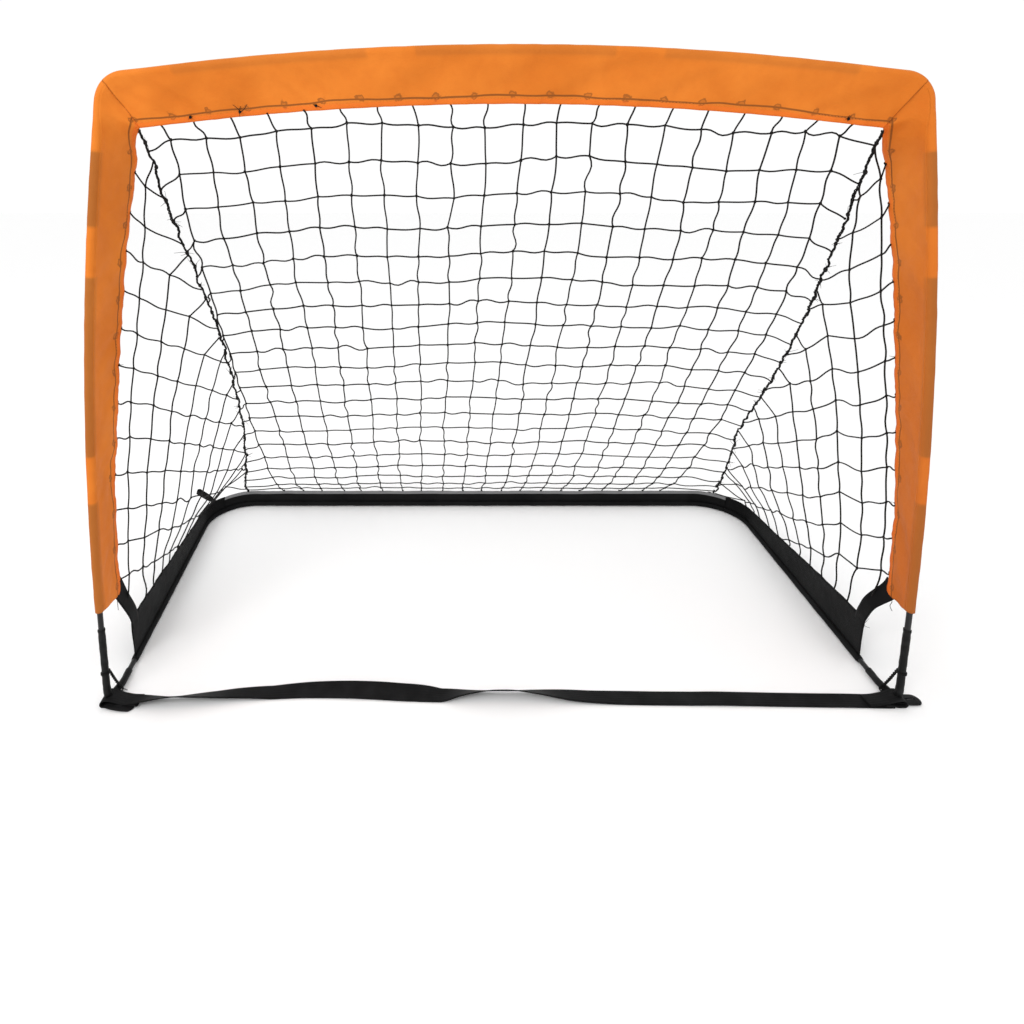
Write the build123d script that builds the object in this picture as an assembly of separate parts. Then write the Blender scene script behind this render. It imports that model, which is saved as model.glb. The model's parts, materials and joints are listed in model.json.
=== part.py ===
"""Portable soccer goal: a shock-corded rod frame that carries an orange sleeve, cloth skirts and a net.

Millimetres. +X to the right, +Y to the back, +Z up. The origin is on the ground, at the middle of the
goal line. Everything is built for the right half and mirrored where the two sides are alike.
"""
from build123d import *
from math import asin, cos, pi, radians, sin, sqrt
import os

os.makedirs("parts", exist_ok=True)

# rods, sockets and cloth
ROD_D = 8.0
ROD_BORE = 4.8
SOCKET_BORE = 8.1
FERRULE_D = 10.0
FERRULE_LENGTH = 64.0
SOCKET_DEPTH = 25.0
ELASTIC_D = 3.2
CHANNEL_D = 12.4
CHANNEL_BORE = 10.8
CLOTH = 1.2
CLOTH_GAP = 0.3

# front hoop, in the plane y = 0
BAR_HEIGHT = 963.8
BAR_RADIUS = 4000.0
BAR_HALF = 447.0
BAR_FERRULE_X = 164.0
POST_FOOT_X = 605.7
POST_LEAN = 0.0131
POST_STRAIGHT = 119.0
POST_RADIUS = 4676.0
POST_ARC = 712.0
POST_FERRULES = (357.0, 690.0)
TOP_BEND = 38.0
SLEEVE_BOTTOM = 148.0

# base, with its rods in the plane z = GROUND_AXIS
GROUND_AXIS = CHANNEL_D / 2
RAIL_FRONT = (599.0, 30.0)
RAIL_BACK = (640.8, 600.0)
REAR_BEND = 95.0
REAR_LEG = 129.0
RAIL_FERRULE = 228.0
REAR_FERRULE_X = 170.0
CHANNEL_START = 50.0

# ground corner
HOSE_D = 10.0
HOSE_BEND = 14.0
HOSE_HEIGHT = 118.0
HOSE_ON_RAIL = 28.0
POST_ROD_END = 42.0
RAIL_ROD_START = 14.0

# orange flaps: width, and how far each is turned back from the plane of the hoop
BAR_FLAP = 71.0
BAR_FLAP_TURN = 19.5
CORNER_HEM = 512.4
SLEEVE_SIDES = 14
POST_FLAP = [
    # distance up the post, width, turn in degrees
    (846, 71, 60),
    (812, 78, 77),
    (730, 78, 81),
    (630, 77, 84),
    (470, 74, 88),
    (290, 70, 94),
    (146, 67, 95),
]

# skirts: height of the top edge, front and back
SKIRT_FRONT = 77.0
SKIRT_BACK = 40.0

# net panels: profile of the roof from the crossbar flap to the rear skirt, as y, z and half width
ROOF = [
    (28, 884, 508),
    (66, 783, 499),
    (131, 650, 492),
    (216, 520, 494),
    (305, 385, 500),
    (392, 262, 510),
    (450, 181, 526),
    (515, 108, 548),
    (560, 72, 568),
    (597, 45, 590),
]
SEAM_CORD_D = 4.0
STAY_CORD_D = 4.0

# ground strap: its centre line, and the loops for the ground pegs
STRAP = [(-577, 3), (-500, 7), (-380, 15), (-230, 19), (-60, 13), (60, 10), (300, 6), (577, 3)]
STRAP_WIDTH = 25.4
STRAP_THICK = 1.6
FLAT_LOOP = (22.0, 6.0, 2.4)
EDGE_LOOP = (14.0, 1.8, 10.0)


def bar_point(x):
    """A point on the crossbar's axis: an arc, then straight lines into the elbows."""
    side = 1 if x >= 0 else -1
    reach = min(abs(x), BAR_HALF)
    drop = BAR_RADIUS - sqrt(BAR_RADIUS**2 - reach**2)
    slope = reach / sqrt(BAR_RADIUS**2 - reach**2)
    beyond = abs(x) - reach
    return Vector(side * (reach + beyond), 0, BAR_HEIGHT - drop - beyond * slope)


def post_point(t):
    """A point on the right post's axis, t up from the ground: straight, an arc, then straight again."""
    if t <= POST_STRAIGHT:
        return Vector(POST_FOOT_X + t * sin(POST_LEAN), 0, GROUND_AXIS + t * cos(POST_LEAN))
    start = post_point(POST_STRAIGHT)
    turned = min(t - POST_STRAIGHT, POST_ARC) / POST_RADIUS
    lean = POST_LEAN - turned
    x = start.X + POST_RADIUS * (cos(lean) - cos(POST_LEAN))
    z = start.Z + POST_RADIUS * (sin(POST_LEAN) - sin(lean))
    beyond = max(0.0, t - POST_STRAIGHT - POST_ARC)
    return Vector(x + beyond * sin(lean), 0, z + beyond * cos(lean))


def rail_point(t):
    """A point on the right side rod's axis, t back from the ground corner."""
    a, b = Vector(*RAIL_FRONT, GROUND_AXIS), Vector(*RAIL_BACK, GROUND_AXIS)
    return a + (b - a).normalized() * t


def run(point_at, a, b, arc_from, arc_to):
    """The axis from a to b: one arc between arc_from and arc_to, straight outside them."""
    stops = sorted({a, b} | {s for s in (arc_from, arc_to) if a < s < b})
    edges = []
    for s, e in zip(stops, stops[1:]):
        if e <= arc_from or s >= arc_to:
            edges.append(Line(point_at(s), point_at(e)))
        else:
            edges.append(ThreePointArc(point_at(s), point_at((s + e) / 2), point_at(e)))
    return Wire(edges)


def bar_run(a, b):
    return run(bar_point, a, b, -BAR_HALF, BAR_HALF)


def post_run(a, b):
    return run(post_point, a, b, POST_STRAIGHT, POST_STRAIGHT + POST_ARC)


def line_run(a, b):
    return Wire([Line(a, b)])


def tube(path, outer, inner=0.0):
    ring = Circle(outer / 2)
    if inner:
        ring -= Circle(inner / 2)
    return sweep(Plane(origin=path @ 0, z_dir=path % 0) * ring, path=path)


def polyhedron(quads):
    """A closed solid from quads that share their corners, each split into two triangles."""
    halves = [half for a, b, c, d in quads for half in ((a, b, c), (a, c, d))]
    return Solid(Shell([Face(Wire.make_polygon(half, close=True)) for half in halves]))


def sheet(rows, thickness=CLOTH):
    """A closed thin solid through rows of points, each row a cut across the cloth."""
    last, end = len(rows) - 1, len(rows[0]) - 1
    front, back = [], []
    for i, row in enumerate(rows):
        normals = []
        for j in range(end + 1):
            along = rows[min(i + 1, last)][j] - rows[max(i - 1, 0)][j]
            across = row[min(j + 1, end)] - row[max(j - 1, 0)]
            normals.append(across.cross(along).normalized() * (thickness / 2))
        front.append([p + n for p, n in zip(row, normals)])
        back.append([p - n for p, n in zip(row, normals)])

    quads = []
    for i in range(last):
        for j in range(end):
            quads.append((front[i][j], front[i][j + 1], front[i + 1][j + 1], front[i + 1][j]))
            quads.append((back[i][j], back[i + 1][j], back[i + 1][j + 1], back[i][j + 1]))
        quads.append((front[i][0], front[i + 1][0], back[i + 1][0], back[i][0]))
        quads.append((front[i + 1][end], front[i][end], back[i][end], back[i + 1][end]))
    for j in range(end):
        quads.append((front[0][j + 1], front[0][j], back[0][j], back[0][j + 1]))
        quads.append((front[last][j], front[last][j + 1], back[last][j + 1], back[last][j]))
    return polyhedron(quads)


def sleeve(stations):
    """Cloth sewn round the rods with a flap. A station is a point on the axis, its direction and its hem."""
    pinch = asin(CLOTH / CHANNEL_D)
    turns = [pinch + (2 * pi - 2 * pinch) * k / (SLEEVE_SIDES - 1) for k in range(SLEEVE_SIDES)]
    cuts = []
    for centre, along, hem in stations:
        along = along.normalized()
        out = hem - centre
        out = (out - along * out.dot(along)).normalized()
        side = along.cross(out)
        spokes = [out * cos(a) + side * sin(a) for a in turns]
        outer = [centre + spoke * (CHANNEL_D / 2) for spoke in spokes]
        inner = [centre + spoke * (CHANNEL_BORE / 2) for spoke in spokes]
        cuts.append((outer, inner, hem + side * (CLOTH / 2), hem - side * (CLOTH / 2)))

    quads = []
    for (o1, i1, f1, b1), (o2, i2, f2, b2) in zip(cuts, cuts[1:]):
        skin1, skin2 = [f1, *o1, b1], [f2, *o2, b2]
        for k in range(len(skin1) - 1):
            quads.append((skin1[k - 1], skin1[k], skin2[k], skin2[k - 1]))
        # the flap's back is split along the same diagonal as its front
        quads.append((b1, b2, o2[-1], o1[-1]))
        for k in range(SLEEVE_SIDES):
            quads.append((i1[k - 1], i2[k - 1], i2[k], i1[k]))
    for (outer, inner, front, back), order in ((cuts[0], -1), (cuts[-1], 1)):
        quads.append((front, outer[0], outer[-1], back)[::order])
        for k in range(SLEEVE_SIDES):
            quads.append((outer[k - 1], outer[k], inner[k], inner[k - 1])[::order])
    return polyhedron(quads)


def pair(name, right):
    """Writes a right part and its mirror image."""
    export_step(right, f"parts/{name}_right.step")
    export_step(mirror(right, about=Plane.YZ), f"parts/{name}_left.step")


def write(name, shape):
    export_step(shape, f"parts/{name}.step")


# corner points of the frame
bar_end, post_top = bar_point(BAR_HALF), post_point(POST_STRAIGHT + POST_ARC)
bar_slope = bar_point(BAR_HALF + 1) - bar_end
post_slope = post_point(POST_STRAIGHT + POST_ARC + 1) - post_top
gap = post_top - bar_end
span = bar_slope.X * post_slope.Z - bar_slope.Z * post_slope.X
top_corner = bar_end + bar_slope * ((gap.X * post_slope.Z - gap.Z * post_slope.X) / span)
top_elbow_axis = FilletPolyline(bar_end, top_corner, post_top, radius=TOP_BEND)
elbow_edges = top_elbow_axis.edges()
bend_middle = elbow_edges[1] @ 0.5

rear_corner = Vector(*RAIL_BACK, GROUND_AXIS)
rail_length = (rear_corner - rail_point(0)).length
rail_leg_start = rail_point(rail_length - REAR_LEG)
rear_leg_end = rear_corner - Vector(REAR_LEG, 0, 0)
rear_elbow_axis = FilletPolyline(rail_leg_start, rear_corner, rear_leg_end, radius=REAR_BEND)


def make_hoop_rods():
    ferrule_half = FERRULE_LENGTH / 2
    write("crossbar_rod_center", tube(bar_run(-BAR_FERRULE_X, BAR_FERRULE_X), ROD_D, ROD_BORE))
    pair("crossbar_rod", tube(bar_run(BAR_FERRULE_X, BAR_HALF + SOCKET_DEPTH), ROD_D, ROD_BORE))
    joint = bar_run(BAR_FERRULE_X - ferrule_half, BAR_FERRULE_X + ferrule_half)
    pair("crossbar_ferrule", tube(joint, FERRULE_D, SOCKET_BORE))
    pair("top_elbow", tube(top_elbow_axis, FERRULE_D, SOCKET_BORE))

    lower, upper = POST_FERRULES
    pair("post_rod_lower", tube(post_run(POST_ROD_END, lower), ROD_D, ROD_BORE))
    pair("post_rod_middle", tube(post_run(lower, upper), ROD_D, ROD_BORE))
    top = POST_STRAIGHT + POST_ARC + SOCKET_DEPTH
    pair("post_rod_upper", tube(post_run(upper, top), ROD_D, ROD_BORE))
    for name, t in (("lower", lower), ("upper", upper)):
        joint = post_run(t - ferrule_half, t + ferrule_half)
        pair(f"post_ferrule_{name}", tube(joint, FERRULE_D, SOCKET_BORE))


def make_base_rods():
    ferrule_half = FERRULE_LENGTH / 2
    rail_end = rail_length - REAR_LEG
    front = line_run(rail_point(RAIL_ROD_START), rail_point(RAIL_FERRULE))
    pair("side_rod_front", tube(front, ROD_D, ROD_BORE))
    back = line_run(rail_point(RAIL_FERRULE), rail_point(rail_end + SOCKET_DEPTH))
    pair("side_rod_back", tube(back, ROD_D, ROD_BORE))
    joint = line_run(rail_point(RAIL_FERRULE - ferrule_half), rail_point(RAIL_FERRULE + ferrule_half))
    pair("side_ferrule", tube(joint, FERRULE_D, SOCKET_BORE))
    pair("rear_elbow", tube(rear_elbow_axis, FERRULE_D, SOCKET_BORE))

    def rear(x):
        return Vector(x, RAIL_BACK[1], GROUND_AXIS)

    write("rear_rod_center", tube(line_run(rear(-REAR_FERRULE_X), rear(REAR_FERRULE_X)), ROD_D, ROD_BORE))
    outer = line_run(rear(REAR_FERRULE_X), rear(rear_leg_end.X + SOCKET_DEPTH))
    pair("rear_rod", tube(outer, ROD_D, ROD_BORE))
    joint = line_run(rear(REAR_FERRULE_X - ferrule_half), rear(REAR_FERRULE_X + ferrule_half))
    pair("rear_ferrule", tube(joint, FERRULE_D, SOCKET_BORE))


def make_elastic_cords():
    """One cord through the hoop's rods and one through the base's. Each ends inside a ground corner."""
    left = Plane.YZ
    post = tube(post_run(POST_ROD_END + 2, POST_STRAIGHT + POST_ARC), ELASTIC_D)
    elbow = tube(top_elbow_axis, ELASTIC_D)
    half = post + elbow
    write("hoop_elastic_cord", tube(bar_run(-BAR_HALF, BAR_HALF), ELASTIC_D) + half + mirror(half, about=left))

    rail = tube(line_run(rail_point(RAIL_ROD_START + 2), rail_leg_start), ELASTIC_D)
    half = rail + tube(rear_elbow_axis, ELASTIC_D)
    ends = rear_leg_end, Vector(-rear_leg_end.X, rear_leg_end.Y, rear_leg_end.Z)
    write("base_elastic_cord", tube(line_run(*ends), ELASTIC_D) + half + mirror(half, about=left))


def make_ground_corners():
    start = post_point(HOSE_HEIGHT)
    foot = Vector(POST_FOOT_X, 0, GROUND_AXIS)
    turn = Vector(RAIL_FRONT[0] - 1.5, RAIL_FRONT[1] - 6, GROUND_AXIS)
    end = rail_point(HOSE_ON_RAIL)
    axis = FilletPolyline(start, foot, turn, end, radius=(HOSE_BEND, 30.0))
    bore = tube(line_run(rail_point(RAIL_ROD_START - 1), rail_point(HOSE_ON_RAIL + 1)), SOCKET_BORE)
    pair("corner_hose", tube(axis, HOSE_D, SOCKET_BORE) - bore)

    high, low = post_point(46) + Vector(-2, 7.2, 0), turn + Vector(1.8, -2.5, 7.2)
    pair("stay_cord", tube(line_run(high, low), STAY_CORD_D))


def make_sleeves():
    """Orange cloth: a channel round the rods and a flap that the net is sewn to, mitred at the corners."""
    turn = radians(BAR_FLAP_TURN)
    down = Vector(0, sin(turn), -cos(turn)) * BAR_FLAP
    bend = elbow_edges[1]
    corner = bar_point(CORNER_HEM) + down

    half = []
    for x in (0, 64, 128, 192, 256, 320, 384, BAR_HALF):
        along = bar_point(x + 1) - bar_point(x - 1)
        half.append((bar_point(x), along, bar_point(x * (CORNER_HEM - 20) / BAR_HALF) + down))
    for k in range(5):
        hem = bar_point(CORNER_HEM - 16 + 4 * k) + down
        half.append((bend @ (k / 8), bend % (k / 8), hem))
    other = [(Vector(-p.X, 0, p.Z), Vector(d.X, 0, -d.Z), Vector(-h.X, h.Y, h.Z)) for p, d, h in half[:0:-1]]
    write("crossbar_sleeve", sleeve(other + half))

    first = flap_row(*POST_FLAP[0])[1]
    stations = []
    for k, share in ((4.05, 0.02), (5, 0.12), (6, 0.2), (7, 0.3), (8, 0.4)):
        stations.append((bend @ (k / 8), bend % (k / 8), corner + (first - corner) * share))
    stations.append((post_point(POST_FLAP[0][0] + 20), -post_slope, corner + (first - corner) * 0.75))
    for t in (846, 812, 770, 730, 680, 630, 570, 510, 450, 390, 330, 270, 210, 148):
        stations.append((post_point(t), post_point(t - 1) - post_point(t + 1), flap_row(t, *flap_at(t))[1]))
    pair("post_sleeve", sleeve(stations))


def flap_row(t, width, turned):
    """A cut across the post's flap: from inside the channel's wall to the hem."""
    angle = radians(turned)
    out = Vector(-cos(angle), sin(angle), 0)
    hem_drop = Vector(0, 0, -18 if t < 200 else 0)
    return [post_point(t) + out * 5.7, post_point(t) + out * width + hem_drop]


def skirt_height(share):
    return SKIRT_FRONT + (SKIRT_BACK - SKIRT_FRONT) * share


def make_base_cloth():
    """Channels round the base rods, which lie on the ground, and the skirts that stand on them."""
    half_bend = rear_elbow_axis.edges()[1]
    straight = Wire([Line(rail_point(CHANNEL_START), half_bend @ 0), half_bend.trim(0, 0.5)])
    pair("side_channel", tube(straight, CHANNEL_D, CHANNEL_BORE))
    bend = Wire([half_bend.trim(0.5, 1)])
    ends = half_bend @ 1, Vector(-(half_bend @ 1).X, RAIL_BACK[1], GROUND_AXIS)
    across = tube(line_run(*ends), CHANNEL_D, CHANNEL_BORE)
    corner = tube(bend, CHANNEL_D, CHANNEL_BORE)
    write("rear_channel", across + corner + mirror(corner, about=Plane.YZ))

    foot = Vector(0, 0, CHANNEL_D / 2 + CLOTH_GAP)
    path = [rail_point(CHANNEL_START + 4 + i * 95) for i in range(5)]
    path += [half_bend @ share for share in (0, 0.25, 0.5)]
    rows = []
    for i, p in enumerate(path):
        top = skirt_height(i / (len(path) - 1))
        rows.append([p + foot, Vector(p.X, p.Y, top)])
    pair("side_skirt", sheet(rows))

    path = [half_bend @ share for share in (0.5, 0.75, 1)]
    path[0] = path[0] + (path[1] - path[0]).normalized()
    path += [Vector(path[-1].X * k, RAIL_BACK[1], GROUND_AXIS) for k in (0.5, 0)]
    path += [Vector(-p.X, p.Y, p.Z) for p in path[-2::-1]]
    write("rear_skirt", sheet([[p + foot, Vector(p.X, p.Y, SKIRT_BACK)] for p in path]))

    pair("hem_band", sheet([
        [Vector(602.5, 68, 146), Vector(602.5, 62, 118)],
        [Vector(603, 79, 113), Vector(603, 71, 93)],
        [Vector(603.5, 82.5, 98), Vector(603.5, 77, 80)],
    ]))


def make_net():
    """The net panels and the lacing along their seams, as plain thin sheets and cords."""
    rows = []
    for y, z, half in ROOF:
        sag = 28 * (1 - y / 600)
        rows.append([Vector(half * k, y, z - sag * k * k) for k in (-1, -0.5, 0, 0.5, 1)])
    write("roof_net", sheet(rows))

    seam = [row[-1] + Vector(5, 0, -5) for row in rows]
    corners = [seam[0], *seam[2:-1:2], seam[-1]]
    bends = [60.0] * (len(corners) - 2)
    pair("lacing_cord", tube(FilletPolyline(*corners, radius=bends), SEAM_CORD_D))

    side = []
    for t in (840, 700, 560, 420, 280, 170):
        width, turned = flap_at(t)
        front = flap_row(t, width + 3, turned)[1]
        side.append([front, seam_at(corners, front.Z) + Vector(5, -3, 0)])
    skirt_front = rail_point(CHANNEL_START + 40)
    side.append([Vector(skirt_front.X, 108, 84), Vector(600, 540, 46)])
    pair("side_net", sheet(side))


def flap_at(t):
    """The flap's width and turn at a height, between the stations that define it."""
    for (high, w1, a1), (low, w2, a2) in zip(POST_FLAP, POST_FLAP[1:]):
        if low <= t <= high:
            k = (high - t) / (high - low)
            return w1 + (w2 - w1) * k, a1 + (a2 - a1) * k
    return POST_FLAP[-1][1:]


def seam_at(seam, z):
    for a, b in zip(seam, seam[1:]):
        if b.Z <= z <= a.Z:
            return a + (b - a) * ((a.Z - z) / (a.Z - b.Z))
    return seam[-1]


def peg_loop(length, shape, tail=0.0):
    """A loop of tape for a ground peg, from its sewn end at x = 0. Its shape is width, band and height."""
    width, band, height = shape
    ring = SlotOverall(length, width) - SlotOverall(length - 2 * band, width - 2 * band)
    ring = Pos(tail + length / 2, 0) * ring
    if tail:
        ring += Pos((tail + band) / 2, 0) * Rectangle(tail + band, 2 * band)
    return extrude(ring, height)


def make_ground_pieces():
    left = [(x, y - STRAP_WIDTH / 2) for x, y in STRAP]
    right = [(x, y + STRAP_WIDTH / 2) for x, y in STRAP]
    write("ground_strap", extrude(make_face(Polyline(*left, *right[::-1], close=True)), STRAP_THICK))

    patch = Polyline((578, -12), (598, -13), (613, -4), (613, 22), (604, 28), (578, 20), close=True)
    pair("corner_pocket", extrude(make_face(patch), 1.0))

    write("peg_loop_front_right", Pos(613.5, 6, 0) * peg_loop(30, FLAT_LOOP))
    write("peg_loop_front_left", Pos(-572, 2, STRAP_THICK + 0.2) * peg_loop(40, FLAT_LOOP))
    write("peg_loop_rear_left", Pos(-620, 578, 2) * Rot(0, 0, 160) * Rot(0, -20, 0) * peg_loop(44, EDGE_LOOP, tail=30))
    write("peg_loop_rear_right", Pos(597, 595, 0.2) * Rot(0, 0, 78) * peg_loop(44, EDGE_LOOP, tail=14))


make_hoop_rods()
make_base_rods()
make_elastic_cords()
make_ground_corners()
make_sleeves()
make_base_cloth()
make_net()
make_ground_pieces()
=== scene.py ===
import json
import math

import bpy
import numpy as np
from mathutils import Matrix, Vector


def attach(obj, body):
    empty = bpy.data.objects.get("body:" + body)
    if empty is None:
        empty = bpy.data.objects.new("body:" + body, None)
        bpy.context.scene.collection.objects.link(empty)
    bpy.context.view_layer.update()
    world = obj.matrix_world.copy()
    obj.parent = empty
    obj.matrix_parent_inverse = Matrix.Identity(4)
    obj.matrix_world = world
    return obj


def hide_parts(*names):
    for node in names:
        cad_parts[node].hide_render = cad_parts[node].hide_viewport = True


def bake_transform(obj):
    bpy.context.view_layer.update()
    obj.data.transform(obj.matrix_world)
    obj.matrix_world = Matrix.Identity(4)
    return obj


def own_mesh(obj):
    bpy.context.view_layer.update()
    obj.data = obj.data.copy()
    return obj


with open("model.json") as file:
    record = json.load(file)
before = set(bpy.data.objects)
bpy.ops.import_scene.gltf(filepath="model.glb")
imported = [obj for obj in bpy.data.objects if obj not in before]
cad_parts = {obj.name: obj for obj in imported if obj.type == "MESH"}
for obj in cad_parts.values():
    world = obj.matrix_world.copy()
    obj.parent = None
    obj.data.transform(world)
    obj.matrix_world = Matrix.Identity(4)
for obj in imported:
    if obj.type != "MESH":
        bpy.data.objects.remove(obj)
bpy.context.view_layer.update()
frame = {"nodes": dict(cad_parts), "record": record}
rng = np.random.default_rng(11)
UP = np.array((0.0, 0.0, 1.0))
SIDE_NAMES = {-1: "left", 1: "right"}
KNOT_PITCH = 0.0495


# ---- camera, light, floor

def make_camera():
    data = bpy.data.cameras.new("camera")
    data.lens, data.sensor_width = 21.78, 36
    data.shift_x, data.shift_y = 0.0822, -0.230
    cam = bpy.data.objects.new("camera", data)
    cam.location = (-0.1154, -0.8503, 0.7805)
    cam.rotation_euler = (math.radians(82), 0, 0)
    bpy.context.collection.objects.link(cam)
    bpy.context.scene.camera = cam


def make_studio():
    """White surroundings, one soft light and a pale floor."""
    scene = bpy.context.scene
    scene.view_settings.view_transform = "Standard"
    scene.world = bpy.data.worlds.new("studio")
    scene.world.use_nodes = True
    back = scene.world.node_tree.nodes["Background"]
    back.inputs["Color"].default_value = (1, 1, 1, 1)
    back.inputs["Strength"].default_value = 1.02

    data = bpy.data.lights.new("key", "AREA")
    data.energy, data.size, data.shape = 34, 1.4, "DISK"
    lamp = bpy.data.objects.new("key", data)
    lamp.location = (-1.6, -2.2, 2.6)
    lamp.rotation_euler = Vector((-1.6, -2.4, 2.2)).to_track_quat("Z", "Y").to_euler()
    bpy.context.collection.objects.link(lamp)

    bpy.ops.mesh.primitive_grid_add(x_subdivisions=8, y_subdivisions=8, size=40, location=(0, 0, -0.0004))
    floor = bpy.context.object
    floor.name = "floor"
    floor.data.materials.append(Nodes("floor", (0.97, 0.97, 0.97), 0.9, Specular_IOR_Level=0.1).material)


# ---- materials

class Nodes:
    """A short way to build a material's node tree."""

    def __init__(self, name, color, roughness, **sockets):
        self.material = bpy.data.materials.new(name)
        self.material.use_nodes = True
        self.tree = self.material.node_tree
        self.shader = self.tree.nodes["Principled BSDF"]
        self.shader.inputs["Base Color"].default_value = (*color, 1)
        self.shader.inputs["Roughness"].default_value = roughness
        for socket, value in sockets.items():
            self.shader.inputs[socket.replace("_", " ")].default_value = value

    def put(self, value, socket):
        if isinstance(value, bpy.types.NodeSocket):
            self.tree.links.new(value, socket)
        else:
            socket.default_value = value

    def add(self, kind, inputs=(), **settings):
        node = self.tree.nodes.new("ShaderNode" + kind)
        for key, value in settings.items():
            setattr(node, key, value)
        for key, value in dict(inputs).items():
            self.put(value, node.inputs[key])
        return node

    def math(self, operation, a, b=0.0, c=0.0):
        return self.add("Math", {0: a, 1: b, 2: c}, operation=operation).outputs[0]

    def times(self, a, b):
        return self.math("MULTIPLY", a, b)

    def scaled(self, value, factor, start):
        return self.math("MULTIPLY_ADD", value, factor, start)

    def minus(self, a, b):
        return self.math("SUBTRACT", a, b)

    def attribute(self, name):
        return self.add("Attribute", attribute_name=name).outputs["Fac"]

    def noise(self, scale, vector=None, detail=3.0, roughness=0.5):
        inputs = {"Scale": scale, "Detail": detail, "Roughness": roughness}
        if vector is not None:
            inputs["Vector"] = vector
        return self.add("TexNoise", inputs).outputs["Fac"]

    def object_coordinates(self):
        return self.add("TexCoord").outputs["Object"]

    def fade(self, value, low, high):
        """0 below low, 1 above high, smooth between."""
        node = self.add("MapRange", {"Value": value, "From Min": low, "From Max": high},
                        interpolation_type="SMOOTHSTEP")
        return node.outputs["Result"]

    def mix(self, factor, a, b):
        node = self.add("Mix", data_type="RGBA")
        for value, key in ((factor, 0), (a, 6), (b, 7)):
            self.put((*value, 1) if isinstance(value, tuple) else value, node.inputs[key])
        return node.outputs[2]

    def bump(self, height, strength, distance):
        bump = self.add("Bump", {"Height": height, "Strength": strength, "Distance": distance})
        before = self.shader.inputs["Normal"].links
        if before:
            self.tree.links.new(before[0].from_socket, bump.inputs["Normal"])
        self.put(bump.outputs["Normal"], self.shader.inputs["Normal"])

    def color(self, socket):
        self.put(socket, self.shader.inputs["Base Color"])

    def tint(self, value, low, high, dark, light):
        """Colours that go from dark to light as the value goes from low to high."""
        self.color(self.mix(self.fade(value, low, high), dark, light))

    def rough(self, socket):
        self.put(socket, self.shader.inputs["Roughness"])


def weave(n, pitch):
    """Plain weave: over one, under one, from the along and across attributes."""
    turn = math.pi / pitch
    a = n.math("SINE", n.times(n.attribute("along"), turn))
    b = n.math("SINE", n.times(n.attribute("across"), turn))
    return n.times(a, b)


def lay(n, pitch):
    """The strands of a laid string, from the along and around attributes."""
    return n.math("SINE", n.math("ADD", n.times(n.attribute("along"), 2 * math.pi / pitch),
                                 n.times(n.attribute("around"), 4 * math.pi)))


def orange_cloth():
    n = Nodes("orange_cloth", (0.71, 0.20, 0.020), 0.62, Specular_IOR_Level=0.12)
    place = n.object_coordinates()
    across = n.attribute("across")
    fine = n.noise(60, place, 4)
    base = n.mix(n.fade(n.noise(7, place, 3), 0.35, 0.68), (0.66, 0.172, 0.016), (0.76, 0.215, 0.024))
    base = n.mix(n.times(n.fade(fine, 0.35, 0.8), 0.22), base, (0.58, 0.13, 0.013))
    base = n.mix(n.attribute("shade"), base, (0.50, 0.112, 0.013))
    # the rods and their sockets show through the channel
    base = n.mix(n.attribute("rod"), base, (0.23, 0.085, 0.020))
    # painted highlight: a pale line along the top edge of the crossbar's tube
    base = n.mix(n.times(n.attribute("rim"), 0.75), base, (0.60, 0.33, 0.13))
    # painted shade in the stitched crease of the mitre
    base = n.mix(n.times(n.fade(n.attribute("mitre"), 0.45, 0.95), 0.6), base, (0.24, 0.055, 0.008))
    # the net's border cord and its knots show through above the hem
    wander = n.scaled(n.noise(13, place, 1), 0.010, -0.005)
    offset = n.math("ABSOLUTE", n.minus(n.math("ADD", across, wander), 0.0105))
    cord = n.minus(1.0, n.fade(offset, 0.0007, 0.0019))
    knot_u = n.times(n.minus(0.5, n.math("PINGPONG", n.attribute("cells"), 0.5)), KNOT_PITCH)
    knot_v = n.minus(n.math("ADD", across, wander), 0.0120)
    reach = n.math("SQRT", n.math("ADD", n.times(knot_u, knot_u), n.times(knot_v, knot_v)))
    reach = n.math("ADD", reach, n.scaled(n.noise(170, place, 2), 0.010, -0.005))
    ring = n.minus(1.0, n.fade(n.math("ABSOLUTE", n.minus(reach, 0.0036)), 0.0006, 0.0020))
    knot = n.math("MAXIMUM", ring, n.times(n.minus(1.0, n.fade(reach, 0.003, 0.0065)), 0.5))
    shadow = n.times(n.math("MAXIMUM", n.times(cord, 0.8), n.times(knot, 0.62)), n.attribute("hemmed"))
    base = n.mix(shadow, base, (0.17, 0.055, 0.012))
    # the folded hem is a redder, more saturated strip
    hem = n.times(n.minus(1.0, n.fade(across, 0.0062, 0.0078)), n.attribute("hemmed"))
    base = n.mix(n.times(hem, 0.5), base, (0.80, 0.140, 0.016))
    n.color(base)
    n.rough(n.scaled(fine, 0.16, 0.52))
    n.bump(n.noise(95, place, 5, 0.6), 0.45, 0.0014)
    n.bump(weave(n, 0.00055), 0.30, 0.00018)
    return n.material


def black_cloth(name, top_strip=False):
    """Black polyester. With top_strip its top edge is pale, by the lift attribute."""
    n = Nodes(name, (0.006, 0.006, 0.006), 0.6, Specular_IOR_Level=0.07)
    place = n.object_coordinates()
    color = n.mix(n.fade(n.noise(11, place, 3), 0.3, 0.75), (0.004, 0.004, 0.0042), (0.008, 0.008, 0.0083))
    if top_strip:
        color = n.mix(n.fade(n.attribute("lift"), 0.70, 0.76), color, (0.22, 0.22, 0.225))
    n.color(color)
    n.rough(n.scaled(n.noise(45, place, 3), 0.2, 0.46))
    n.bump(n.noise(80, place, 5, 0.6), 0.4, 0.0014)
    n.bump(weave(n, 0.00055), 0.35, 0.0002)
    return n.material


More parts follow.
